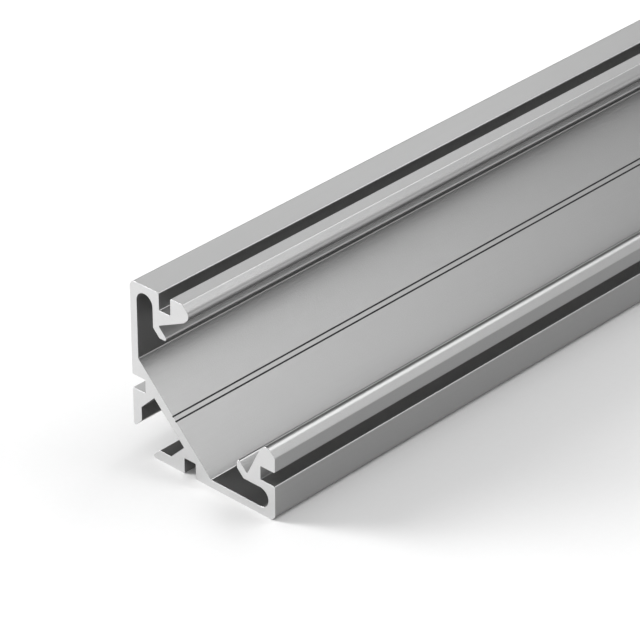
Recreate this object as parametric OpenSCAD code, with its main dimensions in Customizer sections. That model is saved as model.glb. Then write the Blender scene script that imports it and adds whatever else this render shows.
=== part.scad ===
// Corner extrusion for an LED strip: two equal legs at a right angle, a slanted plate
// between them that carries the strip, two hooked heads that hold a snap-in cover, and
// a pair of feet behind the plate that grip a mounting clip.
// The cross-section is drawn once, as the half that belongs to the upright leg. The other
// half is its mirror image in the 45 degree diagonal through the outer corner.
// In the drawing u runs along the lying leg and w up the standing one, both from that corner.

/* [Stock] */
// Length the stock is cut to
stock_l = 1000; // [100:10:3000]
// Width of each leg, from the outer corner to the leg's end
leg = 30; // [27:0.5:45]
// Wall of the legs, and of the heads over the side hollows
wall = 1.4; // [1:0.1:1.8]
// Rounding of the legs' outer ends
end_r = 1.2; // [0.3:0.1:1.6]
// Rounding of the small outer edges
edge_r = 0.2; // [0.05:0.05:0.3]
// Fillet in the small inner corners
fillet_r = 0.15; // [0.05:0.05:0.3]

/* [Strip seat] */
// Width of the plate between the legs, where the strip is stuck
seat_w = 21.5; // [19:0.5:22]
// Thickness of the plate
plate_t = 1.75; // [1.2:0.05:2.2]
// Distance between the two centring lines on the plate
line_gap = 0.88; // [0.6:0.02:3]
// Width of a centring line
line_w = 0.26; // [0.1:0.02:0.4]
// Depth of a centring line
line_d = 0.2; // [0.1:0.05:0.6]
// Rounding of the plate's edge beside each side hollow
seat_edge_r = 0.3; // [0.05:0.05:0.4]

/* [Heads] */
// Outer face to the end-cap groove in the head
groove_u = 6.2; // [5.2:0.1:7]
// Width of the end-cap groove
groove_w = 2.4; // [1.6:0.1:2.8]
// Depth of the end-cap groove
groove_d = 3; // [1:0.1:3.4]
// Outer face to the tip of the hook's nose
nose_u = 12.4; // [11.6:0.1:13.2]
// Slanted facet on top of the nose, measured along either leg
nose_facet = 1.2; // [0.8:0.1:1.6]
// Upright stretch of the nose, between its upper and lower slants
nose_h = 0.95; // [0.4:0.05:1.3]
// Rounding of the nose
nose_r = 1.1; // [0.3:0.1:1.3]
// Slope of the hook's underside against the head
hook_slope = 26; // [20:1:32]
// Rounding of the hook's edge above the groove
hook_edge_r = 0.3; // [0.1:0.05:0.5]

/* [Side hollows] */
// Width of the hollow between the leg and the lip
hollow_w = 3.4; // [2.8:0.1:3.6]
// Leg's end to the bend where the lip leaves the hollow
bend_d = 6.55; // [6:0.05:7.2]
// Thickness of the lip
lip_t = 1.4; // [1.2:0.05:1.6]
// Leg's end to the lowest edge of the lip
lip_d = 7.9; // [7.7:0.1:8.6]
// Outer face to the bottom of the cover's snap groove
snap_u = 6; // [5.8:0.1:6.3]
// Rounding of the lip's tip
lip_r = 0.4; // [0.1:0.05:0.4]

/* [Feet and clip channel] */
// Outer corner to the notch in the leg's outer face
notch_z = 10.9; // [10.5:0.1:11.5]
// Width of the notch
notch_w = 2.4; // [1.6:0.1:2.6]
// Depth of the notch
notch_d = 2.8; // [1.5:0.1:3.1]
// Thickness of a foot
foot_t = 1.8; // [1.4:0.1:2.2]
// Outer corner to the slanted end of the foot, along the outer face
foot_z = 3.8; // [3:0.1:4.6]
// Rounding of the foot's tip
foot_r = 0.35; // [0.1:0.05:0.5]
// Width of the clip channel under the plate
channel_w = 8.8; // [8:0.1:9.6]

/* [Hidden] */

// Degrees that one straight piece of a rounding turns through
ARC_STEP = 12;
// Steps per unit for a slant at 45 degrees
DIAG = sqrt(2);

// The plate's top and underside are the lines u + w = seat_sum and u + w = under_sum
seat_sum = seat_w / DIAG + 2 * wall;
under_sum = seat_sum - plate_t * DIAG;
// The channel's slanted sides are the lines w - u = channel_off and its mirror image
channel_off = channel_w / DIAG;
// The lip's two faces are the lines u + w = lip_sum and u + w = snap_sum
hollow_u = wall + hollow_w;
lip_sum = hollow_u + leg - bend_d;
snap_sum = lip_sum + lip_t * DIAG;
// Bottom corner of the snap groove
snap_w = snap_sum - snap_u;
// Lower end of the nose's upright stretch, where the lower slant starts
nose_low = leg - nose_facet - nose_h;
// Meeting point of the lower slant (w - u constant) and the hook's underside
under_u = (nose_low - nose_u - snap_w + tan(hook_slope) * snap_u) / (tan(hook_slope) - 1);
under_w = nose_low + under_u - nose_u;

// Point at distance t from the diagonal and height n over the plate's top
function on_plate(t, n) = [(seat_sum / DIAG + n - t) / DIAG, (seat_sum / DIAG + n + t) / DIAG];

// Corner at point p with rounding r
function corner(p, r) = [p[0], p[1], r];

// Corners [u, w, rounding] of one half, from the plate's centre over the head to the foot
half = [
    corner(on_plate((line_gap - line_w) / 2, 0), 0),
    corner(on_plate((line_gap - line_w) / 2, -line_d), 0),
    corner(on_plate((line_gap + line_w) / 2, -line_d), 0),
    corner(on_plate((line_gap + line_w) / 2, 0), 0),
    [wall, seat_sum - wall, seat_edge_r],
    [wall, leg - wall, hollow_w / 2],
    [hollow_u, leg - wall, hollow_w / 2],
    [hollow_u, leg - bend_d, fillet_r],
    [lip_sum - leg + lip_d, leg - lip_d, fillet_r],
    [snap_sum - leg + lip_d, leg - lip_d, lip_r],
    [snap_u, snap_w, fillet_r],
    [under_u, under_w, nose_r],
    [nose_u, nose_low, nose_r],
    [nose_u, leg - nose_facet, nose_r],
    [nose_u - nose_facet, leg, hook_edge_r],
    [groove_u + groove_w, leg, hook_edge_r],
    [groove_u + groove_w, leg - groove_d, fillet_r],
    [groove_u, leg - groove_d, fillet_r],
    [groove_u, leg, edge_r],
    [0, leg, end_r],
    [0, notch_z + notch_w, edge_r],
    [notch_d, notch_z + notch_w, fillet_r],
    [notch_d, notch_z, fillet_r],
    [0, notch_z, edge_r],
    [0, foot_z, foot_r],
    [foot_t, foot_z + foot_t, fillet_r],
    [foot_t, channel_off + foot_t, fillet_r],
    [(under_sum - channel_off) / 2, (under_sum + channel_off) / 2, fillet_r]
];

// The other half, mirrored and taken backwards so that the outline runs on
mirrored = [for (i = [len(half) - 1 : -1 : 0]) [half[i][1], half[i][0], half[i][2]]];
outline = concat(half, mirrored);

function flat(p) = [p[0], p[1]];
function unit(v) = v / norm(v);

// Points of an arc of radius r that replaces the corner at b between a and c. The arc
// touches both sides, at the same distance from b, which is at most half of either side.
function arc(a, b, c, r) =
    let (
        back = unit(a - b),
        ahead = unit(c - b),
        half_angle = acos(max(-1, min(1, back * ahead))) / 2,
        reach = min(r / tan(half_angle), norm(a - b) / 2, norm(c - b) / 2),
        radius = reach * tan(half_angle),
        centre = b + unit(back + ahead) * radius / sin(half_angle),
        sweep = 180 - 2 * half_angle,
        steps = max(1, ceil(sweep / ARC_STEP)),
        from_centre = b + back * reach - centre,
        side = sign(back[0] * ahead[1] - back[1] * ahead[0])
    )
    [for (i = [0 : steps])
        let (turn = -side * sweep * i / steps)
        centre + [
            from_centre[0] * cos(turn) - from_centre[1] * sin(turn),
            from_centre[0] * sin(turn) + from_centre[1] * cos(turn)
        ]
    ];

// The outline's points, with every corner that has a rounding turned into an arc
function rounded(pts) = [
    for (i = [0 : len(pts) - 1])
        let (
            a = flat(pts[(i + len(pts) - 1) % len(pts)]),
            b = flat(pts[i]),
            c = flat(pts[(i + 1) % len(pts)])
        )
        each pts[i][2] > 0 ? arc(a, b, c, pts[i][2]) : [b]
];

module section() {
    polygon(rounded(outline));
}

// The section stands upright across the stock's length, which runs along Y. The stock lies on
// one leg, centred over the origin.
module profile() {
    color("silver")
        translate([-leg / 2, stock_l / 2, 0])
            rotate([90, 0, 0])
                linear_extrude(stock_l)
                    section();
}

profile();
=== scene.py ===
# %% [markdown]
# # A corner profile for an LED strip
#
# The object is one length of extruded aluminium: two legs at a right angle, a slanted plate
# between them that carries the strip, hooked heads that hold a snap-in cover, and two feet
# behind the plate that grip a mounting clip. It was pressed hot through a steel die, stretched
# straight, anodised to a satin silver grey and sawn to length.
#
# Everything that can be seen of such a piece follows from its section, so the script builds the
# section once, carries it along the length, and spends the rest of its care on the metal.

import bpy
import numpy as np
from mathutils import Euler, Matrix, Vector


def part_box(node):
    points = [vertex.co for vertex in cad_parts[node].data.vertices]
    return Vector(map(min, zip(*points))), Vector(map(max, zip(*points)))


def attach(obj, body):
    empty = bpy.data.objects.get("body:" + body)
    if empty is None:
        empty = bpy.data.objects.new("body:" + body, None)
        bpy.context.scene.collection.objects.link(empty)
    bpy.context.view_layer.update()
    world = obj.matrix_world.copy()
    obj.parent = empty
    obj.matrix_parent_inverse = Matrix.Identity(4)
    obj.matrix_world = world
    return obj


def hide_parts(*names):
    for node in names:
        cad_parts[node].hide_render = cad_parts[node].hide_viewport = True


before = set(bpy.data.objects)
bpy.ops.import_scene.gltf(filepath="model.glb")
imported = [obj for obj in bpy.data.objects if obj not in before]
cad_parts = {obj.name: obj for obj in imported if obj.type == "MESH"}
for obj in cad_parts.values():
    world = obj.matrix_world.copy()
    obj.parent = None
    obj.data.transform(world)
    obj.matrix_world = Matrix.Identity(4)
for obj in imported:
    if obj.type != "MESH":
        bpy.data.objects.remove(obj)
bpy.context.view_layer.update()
MM = 0.001
stock_low, stock_high = (Vector(c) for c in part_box("profile"))
LEG = stock_high.x - stock_low.x
LENGTH = stock_high.y - stock_low.y
print("leg %.1f mm, length %.0f mm" % (LEG / MM, LENGTH / MM))

# %% [markdown]
# ## The section as a list of corners
#
# An extrusion's drawing gives straight faces and the radius of each corner between them. The
# points could be pushed into place by hand, but the same list of corners works here too, and
# it can be checked against the drawing: every corner has its place and its rounding. Only the
# half that belongs to the standing leg is written out, because the section is its own mirror
# image in the diagonal through the outer corner. In the drawing u runs along the lying leg and
# w up the standing one.

# %% Sizes of the section
WALL = 1.4 * MM
END_R = 1.2 * MM
EDGE_R = 0.2 * MM
FILLET_R = 0.15 * MM
SEAT_W = 21.5 * MM
PLATE_T = 1.75 * MM
LINE_GAP, LINE_W, LINE_D = 0.88 * MM, 0.26 * MM, 0.2 * MM
SEAT_EDGE_R = 0.3 * MM
GROOVE_U, GROOVE_W, GROOVE_D = 6.2 * MM, 2.4 * MM, 3.0 * MM
NOSE_U, NOSE_FACET, NOSE_H, NOSE_R = 12.4 * MM, 1.2 * MM, 0.95 * MM, 1.1 * MM
HOOK_SLOPE = np.tan(np.radians(26.0))
HOOK_EDGE_R = 0.3 * MM
HOLLOW_W, BEND_D = 3.4 * MM, 6.55 * MM
LIP_T, LIP_D, LIP_R = 1.4 * MM, 7.9 * MM, 0.4 * MM
SNAP_U = 6.0 * MM
NOTCH_Z, NOTCH_W, NOTCH_D = 10.9 * MM, 2.4 * MM, 2.8 * MM
FOOT_T, FOOT_Z, FOOT_R = 1.8 * MM, 3.8 * MM, 0.35 * MM
CHANNEL_W = 8.8 * MM
DIAG = np.sqrt(2.0)
print("walls %.1f mm, plate %.1f mm wide and %.2f mm thick" % (WALL / MM, SEAT_W / MM, PLATE_T / MM))

# %% Corners of one half
seat_sum = SEAT_W / DIAG + 2 * WALL
under_sum = seat_sum - PLATE_T * DIAG
channel_off = CHANNEL_W / DIAG
hollow_u = WALL + HOLLOW_W
lip_sum = hollow_u + LEG - BEND_D
snap_sum = lip_sum + LIP_T * DIAG
snap_w = snap_sum - SNAP_U
nose_low = LEG - NOSE_FACET - NOSE_H
under_u = (nose_low - NOSE_U - snap_w + HOOK_SLOPE * SNAP_U) / (HOOK_SLOPE - 1)
under_w = nose_low + under_u - NOSE_U


def on_plate(t, n):
    """The point at distance t from the diagonal and height n over the plate's top."""
    return (seat_sum / DIAG + n - t) / DIAG, (seat_sum / DIAG + n + t) / DIAG


half = [
    (*on_plate((LINE_GAP - LINE_W) / 2, 0), 0),
    (*on_plate((LINE_GAP - LINE_W) / 2, -LINE_D), 0),
    (*on_plate((LINE_GAP + LINE_W) / 2, -LINE_D), 0),
    (*on_plate((LINE_GAP + LINE_W) / 2, 0), 0),
    (WALL, seat_sum - WALL, SEAT_EDGE_R),
    (WALL, LEG - WALL, HOLLOW_W / 2),
    (hollow_u, LEG - WALL, HOLLOW_W / 2),
    (hollow_u, LEG - BEND_D, FILLET_R),
    (lip_sum - LEG + LIP_D, LEG - LIP_D, FILLET_R),
    (snap_sum - LEG + LIP_D, LEG - LIP_D, LIP_R),
    (SNAP_U, snap_w, FILLET_R),
    (under_u, under_w, NOSE_R),
    (NOSE_U, nose_low, NOSE_R),
    (NOSE_U, LEG - NOSE_FACET, NOSE_R),
    (NOSE_U - NOSE_FACET, LEG, HOOK_EDGE_R),
    (GROOVE_U + GROOVE_W, LEG, HOOK_EDGE_R),
    (GROOVE_U + GROOVE_W, LEG - GROOVE_D, FILLET_R),
    (GROOVE_U, LEG - GROOVE_D, FILLET_R),
    (GROOVE_U, LEG, EDGE_R),
    (0, LEG, END_R),
    (0, NOTCH_Z + NOTCH_W, EDGE_R),
    (NOTCH_D, NOTCH_Z + NOTCH_W, FILLET_R),
    (NOTCH_D, NOTCH_Z, FILLET_R),
    (0, NOTCH_Z, EDGE_R),
    (0, FOOT_Z, FOOT_R),
    (FOOT_T, FOOT_Z + FOOT_T, FILLET_R),
    (FOOT_T, channel_off + FOOT_T, FILLET_R),
    ((under_sum - channel_off) / 2, (under_sum + channel_off) / 2, FILLET_R),
]
corners = np.array(half + [(w, u, r) for u, w, r in reversed(half)])
print("corners:", len(corners))

# %% [markdown]
# ## From corners to a smooth outline
#
# Each rounded corner becomes an arc that is tangent to both of its sides. The arcs could be left
# to a Bevel modifier, but then the wide flat faces beside them would be shaded as if they were
# slightly curved. Working the arcs out also gives the exact normal at each of their points, and
# with those the flats stay dead flat and the roundings catch a clean line of light.

# %% One arc with its normals
ARC_STEP = np.radians(6.0)


def unit(v):
    """v scaled to length 1, along the last axis."""
    return v / np.linalg.norm(v, axis=-1, keepdims=True)


def arc(before, corner, after, radius):
    """Points and outward normals of the arc that replaces one corner.

    The arc touches both sides at the distance radius / tan(half the corner's angle), at most
    half of the shorter side. Its points are the centre plus the first spoke turned by equal
    steps. The outline runs with the metal on its left, so at an outer corner the normals point
    away from the centre, and in a fillet towards it.
    """
    back, ahead = unit(before - corner), unit(after - corner)
    half_angle = np.arccos(np.clip(back @ ahead, -1, 1)) / 2
    sides = [np.linalg.norm(before - corner), np.linalg.norm(after - corner)]
    reach = min(radius / np.tan(half_angle), min(sides) / 2)
    radius = reach * np.tan(half_angle)
    centre = corner + unit(back + ahead) * radius / np.sin(half_angle)
    side = np.sign(back[0] * ahead[1] - back[1] * ahead[0])
    sweep = np.pi - 2 * half_angle
    turn = -side * np.linspace(0, sweep, int(np.ceil(sweep / ARC_STEP)) + 1)
    spoke = corner + back * reach - centre
    points = centre + np.stack(
        [
            spoke[0] * np.cos(turn) - spoke[1] * np.sin(turn),
            spoke[0] * np.sin(turn) + spoke[1] * np.cos(turn),
        ],
        axis=1,
    )
    return points, -side * unit(points - centre)


print("arcs in steps of at most %.0f degrees" % np.degrees(ARC_STEP))

# %% The whole outline
NO_LENGTH = 1e-9


def rounded(corners):
    """The closed outline: its points, the normals at the start and end of each edge, and the
    corner that each edge starts at.

    Edge k runs from point k to the next. An edge inside an arc takes the arc's own normals, and
    a straight one the perpendicular to its direction. Where two arcs meet, the edge between
    them has no length and is dropped.
    """
    points, spokes, owner = [], [], []
    for k, (u, w, r) in enumerate(corners):
        before, here = corners[k - 1, :2], np.array([u, w])
        after = corners[(k + 1) % len(corners), :2]
        p, n = arc(before, here, after, r) if r > 0 else (here[None], np.zeros((1, 2)))
        points.append(p)
        spokes.append(n)
        owner.append(np.full(len(p), k))
    points, spokes, owner = (np.concatenate(x) for x in (points, spokes, owner))
    along = np.roll(points, -1, axis=0) - points
    length = np.linalg.norm(along, axis=1, keepdims=True)
    along = along / np.maximum(length, NO_LENGTH)
    flat = np.stack([along[:, 1], -along[:, 0]], axis=1)
    curved = (owner == np.roll(owner, -1))[:, None]
    start = np.where(curved, spokes, flat)
    end = np.where(curved, np.roll(spokes, -1, axis=0), flat)
    keep = length[:, 0] > NO_LENGTH
    return points[keep], start[keep], end[keep], owner[keep]


outline, normal_start, normal_end, owner = rounded(corners)
area = 0.5 * np.sum(
    outline[:, 0] * np.roll(outline[:, 1], -1) - np.roll(outline[:, 0], -1) * outline[:, 1]
)
print("outline points: %d, section area %.2f mm2" % (len(outline), area / MM**2))

# %% [markdown]
# ## Carrying the section along the length
#
# The skin is a surface of two parameters: the place on the outline and the distance along the
# stock. A curve object with a bevel profile could do the same, but it would know neither the
# exact normals nor a tidy unwrapping. The saw leaves a sharp edge that is broken by hand, so the
# last two hundredths of a millimetre lean inwards all round, and that narrow band catches the
# light at the cut.

# %% Stations along the stock
CHAMFER = 0.02 * MM
STATIONS = 21
LEAST_COSINE = 0.5


def moved_in(points, start, end, distance):
    """The outline moved into the metal: each point goes against the mean of the normals of its
    two edges, by the distance divided by the cosine between that mean and either normal. A
    least cosine keeps the points of very sharp corners from running away."""
    mean = unit(np.roll(end, 1, axis=0) + start)
    cosine = np.maximum(np.sum(mean * start, axis=1, keepdims=True), LEAST_COSINE)
    return points - mean * distance / cosine


def ring_at(section, y):
    """The section's points set upright at y, measured from the stock's outer corner."""
    u, w = section.T
    return np.stack([stock_low.x + u, np.full_like(u, y), stock_low.z + w], axis=1)


inner = moved_in(outline, normal_start, normal_end, CHAMFER)
body_y = np.linspace(stock_low.y + CHAMFER, stock_high.y - CHAMFER, STATIONS)
rings = [ring_at(inner, stock_low.y)]
rings += [ring_at(outline, y) for y in body_y]
rings += [ring_at(inner, stock_high.y)]
vertices = np.concatenate(rings)
count, bands = len(outline), len(rings) - 1
print("%d rings of %d points: %d triangles" % (bands + 1, count, 2 * count * bands))

# %% Faces and corner normals of the skin
band, edge = np.meshgrid(np.arange(bands), np.arange(count), indexing="ij")
next_point = (edge + 1) % count
quads = np.stack(
    [
        band * count + edge,
        (band + 1) * count + edge,
        (band + 1) * count + next_point,
        band * count + next_point,
    ],
    axis=-1,
).reshape(-1, 4)
lean = np.zeros((bands, 1, 1))
lean[0], lean[-1] = -1, 1


def skin_normals(n):
    """The section's normals, one per edge, as the normals of every band: upright in the bands of
    the body, and leaning 45 degrees outwards in the two narrow bands at the cuts."""
    upright = np.stack([n[:, 0], np.zeros(len(n)), n[:, 1]], axis=1)
    return unit(upright[None] + lean * np.array([0.0, 1.0, 0.0]))


at_start, at_end = skin_normals(normal_start), skin_normals(normal_end)
quad_normals = np.stack([at_start, at_start, at_end, at_end], axis=2).reshape(-1, 3)
print("faces of the skin: %d, with %d corner normals" % (len(quads), len(quad_normals)))

# %% [markdown]
# ## One mesh for skin and cuts
#
# The two cut ends are single flat faces with the skin's own edge points, so the piece is closed
# and has no seam to leak light. They get the second material, because the saw went through the
# anodised layer and shows bare metal. The unwrapping is plain: metres round the outline against
# metres along the stock.

# %% Build the mesh
front = np.arange(count)
back = (bands * count + front)[::-1]
loops = np.concatenate([quads.ravel(), front, back])
starts = np.concatenate([4 * np.arange(len(quads)), len(quads) * 4 + np.array([0, count])])
cap_normals = np.repeat([[0.0, -1.0, 0.0], [0.0, 1.0, 0.0]], count, axis=0)
loop_normals = np.concatenate([quad_normals, cap_normals])

mesh = bpy.data.meshes.new("led_profile")
mesh.vertices.add(len(vertices))
mesh.vertices.foreach_set("co", vertices.ravel())
mesh.loops.add(len(loops))
mesh.loops.foreach_set("vertex_index", loops)
mesh.polygons.add(len(starts))
mesh.polygons.foreach_set("loop_start", starts)
# The third finish is the painted shade of the two centring lines.
SKIN, CUT, LINE_SHADE = 0, 1, 2
last = len(corners) - 1
line_corners = [0, 1, 2, last - 3, last - 2, last - 1]
edge_material = np.where(np.isin(owner, line_corners), LINE_SHADE, SKIN)
material_index = np.concatenate([np.tile(edge_material, bands), [CUT, CUT]]).astype(np.int32)
mesh.polygons.foreach_set("material_index", material_index)
mesh.polygons.foreach_set("use_smooth", np.ones(len(starts), dtype=bool))
mesh.update(calc_edges=True)
print("mesh: %d vertices, %d faces" % (len(mesh.vertices), len(mesh.polygons)))

# %% Unwrap it
edge_length = np.linalg.norm(np.roll(outline, -1, axis=0) - outline, axis=1)
run = np.concatenate([[0], np.cumsum(edge_length)])
u_start = np.broadcast_to(run[:-1], (bands, count))
u_end = np.broadcast_to(run[1:], (bands, count))
ring_y = np.array([r[0, 1] for r in rings])
v_low = np.broadcast_to(ring_y[:-1, None], (bands, count))
v_high = np.broadcast_to(ring_y[1:, None], (bands, count))
quad_uv = np.stack([u_start, v_low, u_start, v_high, u_end, v_high, u_end, v_low], axis=-1)
cap_uv = np.concatenate([vertices[front][:, [0, 2]], vertices[back][:, [0, 2]]])
uv = np.concatenate([quad_uv.reshape(-1, 2), cap_uv])
mesh.uv_layers.new(name="run_and_length").data.foreach_set("uv", uv.ravel())
mesh.normals_split_custom_set(loop_normals.tolist())
mesh.validate()
led_profile = bpy.data.objects.new("led_profile", mesh)
bpy.context.scene.collection.objects.link(led_profile)
print("perimeter of the section: %.1f mm" % (run[-1] / MM))

# %% [markdown]
# ## The anodised skin
#
# Satin anodising starts with an etch that leaves the metal finely matt, so reflections are soft
# but still those of a metal: nearly all of the colour comes from what it mirrors. The clear
# oxide layer on top scatters a little light and dulls the mirroring at a flat angle, so the skin
# is not wholly metallic and has a darker tint there. Two things keep it from looking like paint.
# The die drags hair lines along the whole length, which differ from place to place round the
# section and hardly change along it, and the etch leaves a fine even grain. The lines are read
# from the unwrapping, where one axis runs round the section, and the grain from the object's own
# coordinates, so neither depends on the view.

# %% Helpers for a material and its pattern
def new_material(name):
    """A material whose node tree holds only a Principled shader and the output."""
    material = bpy.data.materials.new(name)
    material.use_nodes = True
    tree = material.node_tree
    tree.nodes.clear()
    shader = tree.nodes.new("ShaderNodeBsdfPrincipled")
    output = tree.nodes.new("ShaderNodeOutputMaterial")
    tree.links.new(shader.outputs["BSDF"], output.inputs["Surface"])
    return material, tree, shader


def noise(tree, source, stretch, scale, detail=2.0):
    """Noise over one output of Texture Coordinate, with each axis multiplied by its stretch
    first. The larger the scale, the finer the noise: a feature is about 1 / scale long."""
    place = tree.nodes.new("ShaderNodeTexCoord")
    mapping = tree.nodes.new("ShaderNodeMapping")
    mapping.inputs["Scale"].default_value = stretch
    grain = tree.nodes.new("ShaderNodeTexNoise")
    grain.inputs["Scale"].default_value = scale
    grain.inputs["Detail"].default_value = detail
    tree.links.new(place.outputs[source], mapping.inputs["Vector"])
    tree.links.new(mapping.outputs["Vector"], grain.inputs["Vector"])
    return grain.outputs["Fac"]


print("helpers: new_material, noise")

# %% Helpers from a pattern to colour and relief
NOISE_LOW, NOISE_HIGH = 0.3, 0.7


def spread(tree, value, middle, swing):
    """Noise turned into middle +- swing. Its values from NOISE_LOW to NOISE_HIGH fill that range,
    because noise hardly ever goes beyond them."""
    remap = tree.nodes.new("ShaderNodeMapRange")
    remap.inputs["From Min"].default_value = NOISE_LOW
    remap.inputs["From Max"].default_value = NOISE_HIGH
    remap.inputs["To Min"].default_value = middle - swing
    remap.inputs["To Max"].default_value = middle + swing
    tree.links.new(value, remap.inputs["Value"])
    return remap.outputs["Result"]


def grey(tree, value):
    """The neutral grey of that brightness: red, green and blue all equal to the value."""
    mix = tree.nodes.new("ShaderNodeCombineColor")
    for channel in ("Red", "Green", "Blue"):
        tree.links.new(value, mix.inputs[channel])
    return mix.outputs["Color"]


def bump(tree, value, height, under=None):
    """A relief of that height in metres between the values 0 and 1, laid over another relief."""
    relief = tree.nodes.new("ShaderNodeBump")
    relief.inputs["Distance"].default_value = height
    tree.links.new(value, relief.inputs["Height"])
    if under is not None:
        tree.links.new(under, relief.inputs["Normal"])
    return relief.outputs["Normal"]


print("helpers: spread, grey, bump")

# %% Anodised aluminium
SKIN_GREY, SKIN_GREY_SWING = 0.38, 0.003
SKIN_ROUGHNESS, SKIN_ROUGHNESS_SWING = 0.29, 0.02
METAL_SHARE = 0.9
GRAZING_TINT = 0.5
LINE_SCALE, LINE_STRETCH, LINE_DETAIL = 5200.0, 0.006, 3.0
LINE_HEIGHT = 0.001 * MM
GRAIN_SCALE, GRAIN_HEIGHT = 4500.0, 0.018 * MM
CLOUD_SCALE, CLOUD_STRETCH = 60.0, 0.15

skin, tree, shader = new_material("anodised_skin")
die_lines = noise(tree, "UV", (1.0, LINE_STRETCH, 1.0), LINE_SCALE, LINE_DETAIL)
fine_grain = noise(tree, "Object", (1.0, 1.0, 1.0), GRAIN_SCALE)
clouds = noise(tree, "Object", (1.0, CLOUD_STRETCH, 1.0), CLOUD_SCALE)
shader.inputs["Metallic"].default_value = METAL_SHARE
shader.inputs["Specular Tint"].default_value = (GRAZING_TINT, GRAZING_TINT, GRAZING_TINT, 1)
skin_colour = grey(tree, spread(tree, die_lines, SKIN_GREY, SKIN_GREY_SWING))
skin_matt = spread(tree, clouds, SKIN_ROUGHNESS, SKIN_ROUGHNESS_SWING)
relief = bump(tree, fine_grain, GRAIN_HEIGHT, bump(tree, die_lines, LINE_HEIGHT))
tree.links.new(skin_colour, shader.inputs["Base Color"])
tree.links.new(skin_matt, shader.inputs["Roughness"])
tree.links.new(relief, shader.inputs["Normal"])
line_apart = 1 / LINE_SCALE
print("die lines %.2f mm apart, %.0f mm long" % (line_apart / MM, line_apart / LINE_STRETCH / MM))

# %% [markdown]
# ## The sawn end
#
# The saw goes through the anodised layer, so the cut shows bare metal: paler than the skin, and a
# little rougher. Each tooth of the blade leaves a shallow arc, and together they make faint rings
# round the place where the blade's centre was. They are far too shallow to model. A Wave texture
# in rings draws exactly that, once its coordinates are moved to that centre. A little noise
# keeps the arcs from looking ruled.

# %% Sawn end
CUT_GREY, CUT_GREY_SWING = 0.69, 0.01
CUT_ROUGHNESS, CUT_ROUGHNESS_SWING = 0.4, 0.02
SAW_CENTRE = Vector((0.11, 0.0, -0.13))
SAW_RINGS = 1200.0
SAW_HEIGHT = 0.0006 * MM
SAW_WOBBLE, SAW_WOBBLE_SCALE = 1.5, 0.4
SAW_GRAIN_SCALE = 3000.0
# At scale 1 the Wave texture turns through 20 radians a metre
WAVE_UNIT = 20.0

cut, tree, shader = new_material("sawn_end")
saw_grain = noise(tree, "Object", (1.0, 1.0, 1.0), SAW_GRAIN_SCALE)
place = tree.nodes.new("ShaderNodeTexCoord")
centred = tree.nodes.new("ShaderNodeMapping")
centred.inputs["Location"].default_value = -SAW_CENTRE
rings_of_teeth = tree.nodes.new("ShaderNodeTexWave")
rings_of_teeth.wave_type = "RINGS"
rings_of_teeth.rings_direction = "Y"
rings_of_teeth.inputs["Scale"].default_value = SAW_RINGS * np.pi * 2 / WAVE_UNIT
rings_of_teeth.inputs["Distortion"].default_value = SAW_WOBBLE
rings_of_teeth.inputs["Detail Scale"].default_value = SAW_WOBBLE_SCALE
tree.links.new(place.outputs["Object"], centred.inputs["Vector"])
tree.links.new(centred.outputs["Vector"], rings_of_teeth.inputs["Vector"])
shader.inputs["Metallic"].default_value = 1.0
cut_colour = grey(tree, spread(tree, saw_grain, CUT_GREY, CUT_GREY_SWING))
cut_matt = spread(tree, saw_grain, CUT_ROUGHNESS, CUT_ROUGHNESS_SWING)
tree.links.new(cut_colour, shader.inputs["Base Color"])
tree.links.new(cut_matt, shader.inputs["Roughness"])
tree.links.new(bump(tree, rings_of_teeth.outputs["Fac"], SAW_HEIGHT), shader.inputs["Normal"])
print("saw rings %.1f mm apart, blade's centre at" % (1 / SAW_RINGS / MM), SAW_CENTRE)

# %% [markdown]
# ## The centring lines
#
# Two fine grooves run along the middle of the plate, to show where the strip belongs. They are too
# narrow for the light to reach their floor, so they lie in shade and look nearly black. Their three
# faces get a nearly black matt colour, painted shade, that gives that look at any distance.

# %% Centring lines
# Painted shade: the nearly black colour of the centring lines stands in for the shade inside them.
PAINTED_SHADE, PAINTED_SHADE_SWING = 0.05, 0.01
DARK_ROUGHNESS, DARK_ROUGHNESS_SWING = 0.6, 0.05
DARK_SHINE = 0.2
MOTTLE_SCALE, MOTTLE_STRETCH, MOTTLE_HEIGHT = 4000.0, 0.05, 0.002 * MM

line_shade, tree, shader = new_material("centring_line_painted_shade")
line_mottle = noise(tree, "Object", (1.0, MOTTLE_STRETCH, 1.0), MOTTLE_SCALE)
painted_line_shade = grey(tree, spread(tree, line_mottle, PAINTED_SHADE, PAINTED_SHADE_SWING))
line_matt = spread(tree, line_mottle, DARK_ROUGHNESS, DARK_ROUGHNESS_SWING)
tree.links.new(painted_line_shade, shader.inputs["Base Color"])
tree.links.new(line_matt, shader.inputs["Roughness"])
tree.links.new(bump(tree, line_mottle, MOTTLE_HEIGHT), shader.inputs["Normal"])
shader.inputs["Specular IOR Level"].default_value = DARK_SHINE
print("centring lines: grey %.2f" % PAINTED_SHADE)

# %% Finishes on the mesh
for material in (skin, cut, line_shade):
    mesh.materials.append(material)
print("materials:", [m.name for m in mesh.materials])

# %% [markdown]
# ## Into the frame
#
# The whole profile is one rigid body, so the skin rides on the root node and takes the place of
# the CAD node. It stays inside the CAD solid's box, because its flats are the same planes.

# %% Ride on the root node
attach(led_profile, "root")
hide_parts("profile")
print("led_profile rides on root and replaces profile")

# %% [markdown]
# ## Floor
#
# The picture has a plain white ground. A wide flat sheet of white paper, fully matt, stands in
# for it. It is far wider than the picture, so that no edge of it is mirrored in the metal.

# %% Floor
FLOOR_HALF = 12.0
PAPER, PAPER_SWING = 0.95, 0.005
FIBRE_SCALE, FIBRE_HEIGHT = 900.0, 0.005 * MM

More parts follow.
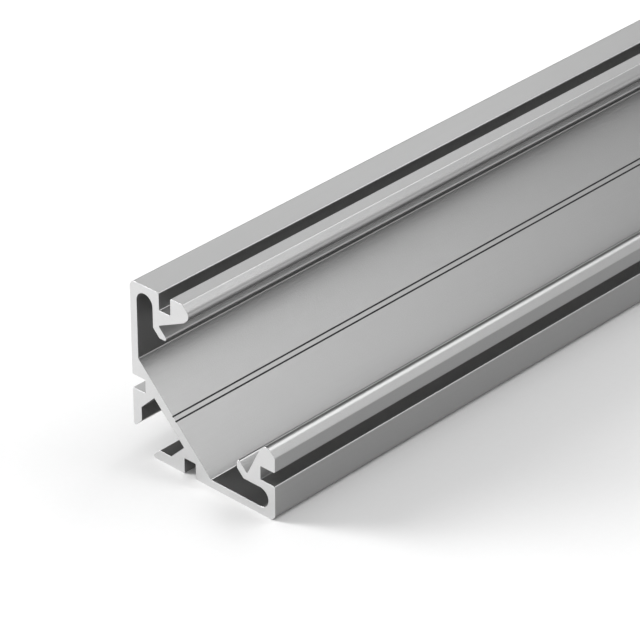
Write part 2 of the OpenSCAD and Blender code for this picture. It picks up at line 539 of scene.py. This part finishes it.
floor_corners = [(-1, -1), (1, -1), (1, 1), (-1, 1)]
floor_points = [(x * FLOOR_HALF, y * FLOOR_HALF, 0) for x, y in floor_corners]
floor_mesh = bpy.data.meshes.new("floor")
floor_mesh.from_pydata(floor_points, [], [(0, 1, 2, 3)])
floor = bpy.data.objects.new("floor", floor_mesh)
bpy.context.scene.collection.objects.link(floor)
paper, tree, shader = new_material("white_paper")
paper_fibres = noise(tree, "Object", (1.0, 1.0, 1.0), FIBRE_SCALE)
paper_colour = grey(tree, spread(tree, paper_fibres, PAPER, PAPER_SWING))
tree.links.new(paper_colour, shader.inputs["Base Color"])
tree.links.new(bump(tree, paper_fibres, FIBRE_HEIGHT), shader.inputs["Normal"])
shader.inputs["Roughness"].default_value = 1.0
shader.inputs["Specular IOR Level"].default_value = 0.0
floor_mesh.materials.append(paper)
print("floor %.0f m wide" % (2 * FLOOR_HALF))

# %% [markdown]
# ## Light from all round
#
# A metal has little colour of its own to show and mostly mirrors, so the light is planned by
# what each face should see. A pale world gives every face its basic tone. The same tone all over
# would do for the flats, but the rounded noses would mirror a dark band between a lamp and the
# floor. So the world brightens to white towards the horizon, like a studio's backdrop.

# %% World
SKY_LEVEL, HORIZON_LEVEL = 0.48, 1.0
GLOW_TOP = 0.45

world = bpy.data.worlds.new("studio")
bpy.context.scene.world = world
world.use_nodes = True
tree = world.node_tree
soft = tree.nodes["Background"]
soft.inputs["Color"].default_value = (1, 1, 1, 1)
direction = tree.nodes.new("ShaderNodeTexCoord")
split = tree.nodes.new("ShaderNodeSeparateXYZ")
fade = tree.nodes.new("ShaderNodeMapRange")
fade.interpolation_type = "SMOOTHSTEP"
fade.inputs["From Max"].default_value = GLOW_TOP
fade.inputs["To Min"].default_value = HORIZON_LEVEL
fade.inputs["To Max"].default_value = SKY_LEVEL
tree.links.new(direction.outputs["Generated"], split.inputs["Vector"])
tree.links.new(split.outputs["Z"], fade.inputs["Value"])
tree.links.new(fade.outputs["Result"], soft.inputs["Strength"])
glow_degrees = np.degrees(np.arcsin(GLOW_TOP))
print("world %.2f, %.2f at the horizon, up to %.0f degrees" % (SKY_LEVEL, HORIZON_LEVEL, glow_degrees))

# %% [markdown]
# ## Lamps
#
# A round soft box stands where the slanted plate mirrors it and a wide one where the flat tops
# do. The second is low, so that the standing leg hides it from the lower hook, whose inner side
# stays dark. A wider and brighter one between those two is caught by the noses as a line of
# light. Two soft suns from the left light the sawn end and the floor. They leave the floor
# beside the lying leg in shadow, and the leg's outer face mirrors that part of it.

# %% Helpers for lamps
LAMP_DISTANCE = 1.1


def toward(azimuth, elevation):
    """The unit vector at that azimuth from +X towards +Y and that height over the floor, both in
    degrees: the products of the two angles' cosines and sines."""
    turn, rise = np.radians(azimuth), np.radians(elevation)
    return Vector((np.cos(rise) * np.cos(turn), np.cos(rise) * np.sin(turn), np.sin(rise)))


def add_lamp(data, direction, place):
    """Puts a lamp at place, turned so that it shines against direction."""
    lamp = bpy.data.objects.new(data.name, data)
    lamp.location = place
    lamp.rotation_mode = "QUATERNION"
    lamp.rotation_quaternion = direction.to_track_quat("Z", "Y")
    lamp.visible_camera = False
    bpy.context.scene.collection.objects.link(lamp)
    return lamp


def soft_sun(name, azimuth, elevation, angle, strength):
    """A distant lamp, as wide in the sky as angle in degrees."""
    data = bpy.data.lights.new(name, "SUN")
    data.angle = np.radians(angle)
    data.energy = strength
    return add_lamp(data, toward(azimuth, elevation), Vector())


def soft_box(name, azimuth, elevation, width, height, radiance):
    """An oval lamp at a fixed distance from the near end, its width level. Its power is pi times
    its area times the brightness that it should show."""
    data = bpy.data.lights.new(name, "AREA")
    data.shape = "ELLIPSE"
    data.size, data.size_y = width, height
    data.energy = np.pi * np.pi * width * height / 4 * radiance
    near_end = Vector((0.0, stock_low.y, LEG / 2))
    direction = toward(azimuth, elevation)
    return add_lamp(data, direction, near_end + direction * LAMP_DISTANCE)


print("soft boxes stand %.1f m from the near end" % LAMP_DISTANCE)

# %% Lamps
# Name, azimuth and elevation in degrees, width and height in metres, brightness
SOFT_BOXES = [
    ("plate_lamp", 44, 32, 0.5, 0.5, 0.83),
    ("nose_lamp", 77, 51, 1.1, 0.45, 2.55),
    ("top_lamp", 143, 25, 0.9, 0.5, 1.3),
]
# Name, azimuth and elevation in degrees, width in the sky in degrees, strength
SUNS = [
    ("low_sun", 208, 18, 22, 1.5),
    ("high_sun", 212, 27, 22, 1.55),
]

for box in SOFT_BOXES:
    soft_box(*box)
for sun in SUNS:
    soft_sun(*sun)

# %% [markdown]
# ## Camera
#
# The camera was worked out from the photo: the cut end's two legs are equal and square, and all
# the long edges run to one vanishing point. That gives the direction, the distance and the length
# of the lens together. The place is written as an offset from the near end's outer corner.

# %% Camera
CAMERA_OFFSET = Vector((341.205, -321.842, 304.198)) * MM
AZIMUTH, ELEVATION = np.radians(43.183), np.radians(31.009)
FOCAL_PIXELS, IMAGE_PIXELS = 3621.3, 640
SENSOR_MM = 36.0
CLIP_NEAR, CLIP_FAR = 0.01, 50.0

camera_data = bpy.data.cameras.new("camera")
camera_data.sensor_width = SENSOR_MM
camera_data.lens = SENSOR_MM * FOCAL_PIXELS / IMAGE_PIXELS
camera_data.clip_start, camera_data.clip_end = CLIP_NEAR, CLIP_FAR
camera = bpy.data.objects.new("camera", camera_data)
camera.location = stock_low + CAMERA_OFFSET
camera.rotation_euler = Euler((np.pi / 2 - ELEVATION, 0.0, AZIMUTH))
bpy.context.scene.collection.objects.link(camera)
bpy.context.scene.camera = camera
print("lens %.1f mm, %.0f mm from the near end" % (camera_data.lens, CAMERA_OFFSET.length / MM))

# %% [markdown]
# ## How the colours are shown
#
# The colours are shown as they are, without a film look.

# %% Finish
bpy.context.scene.view_settings.view_transform = "Standard"
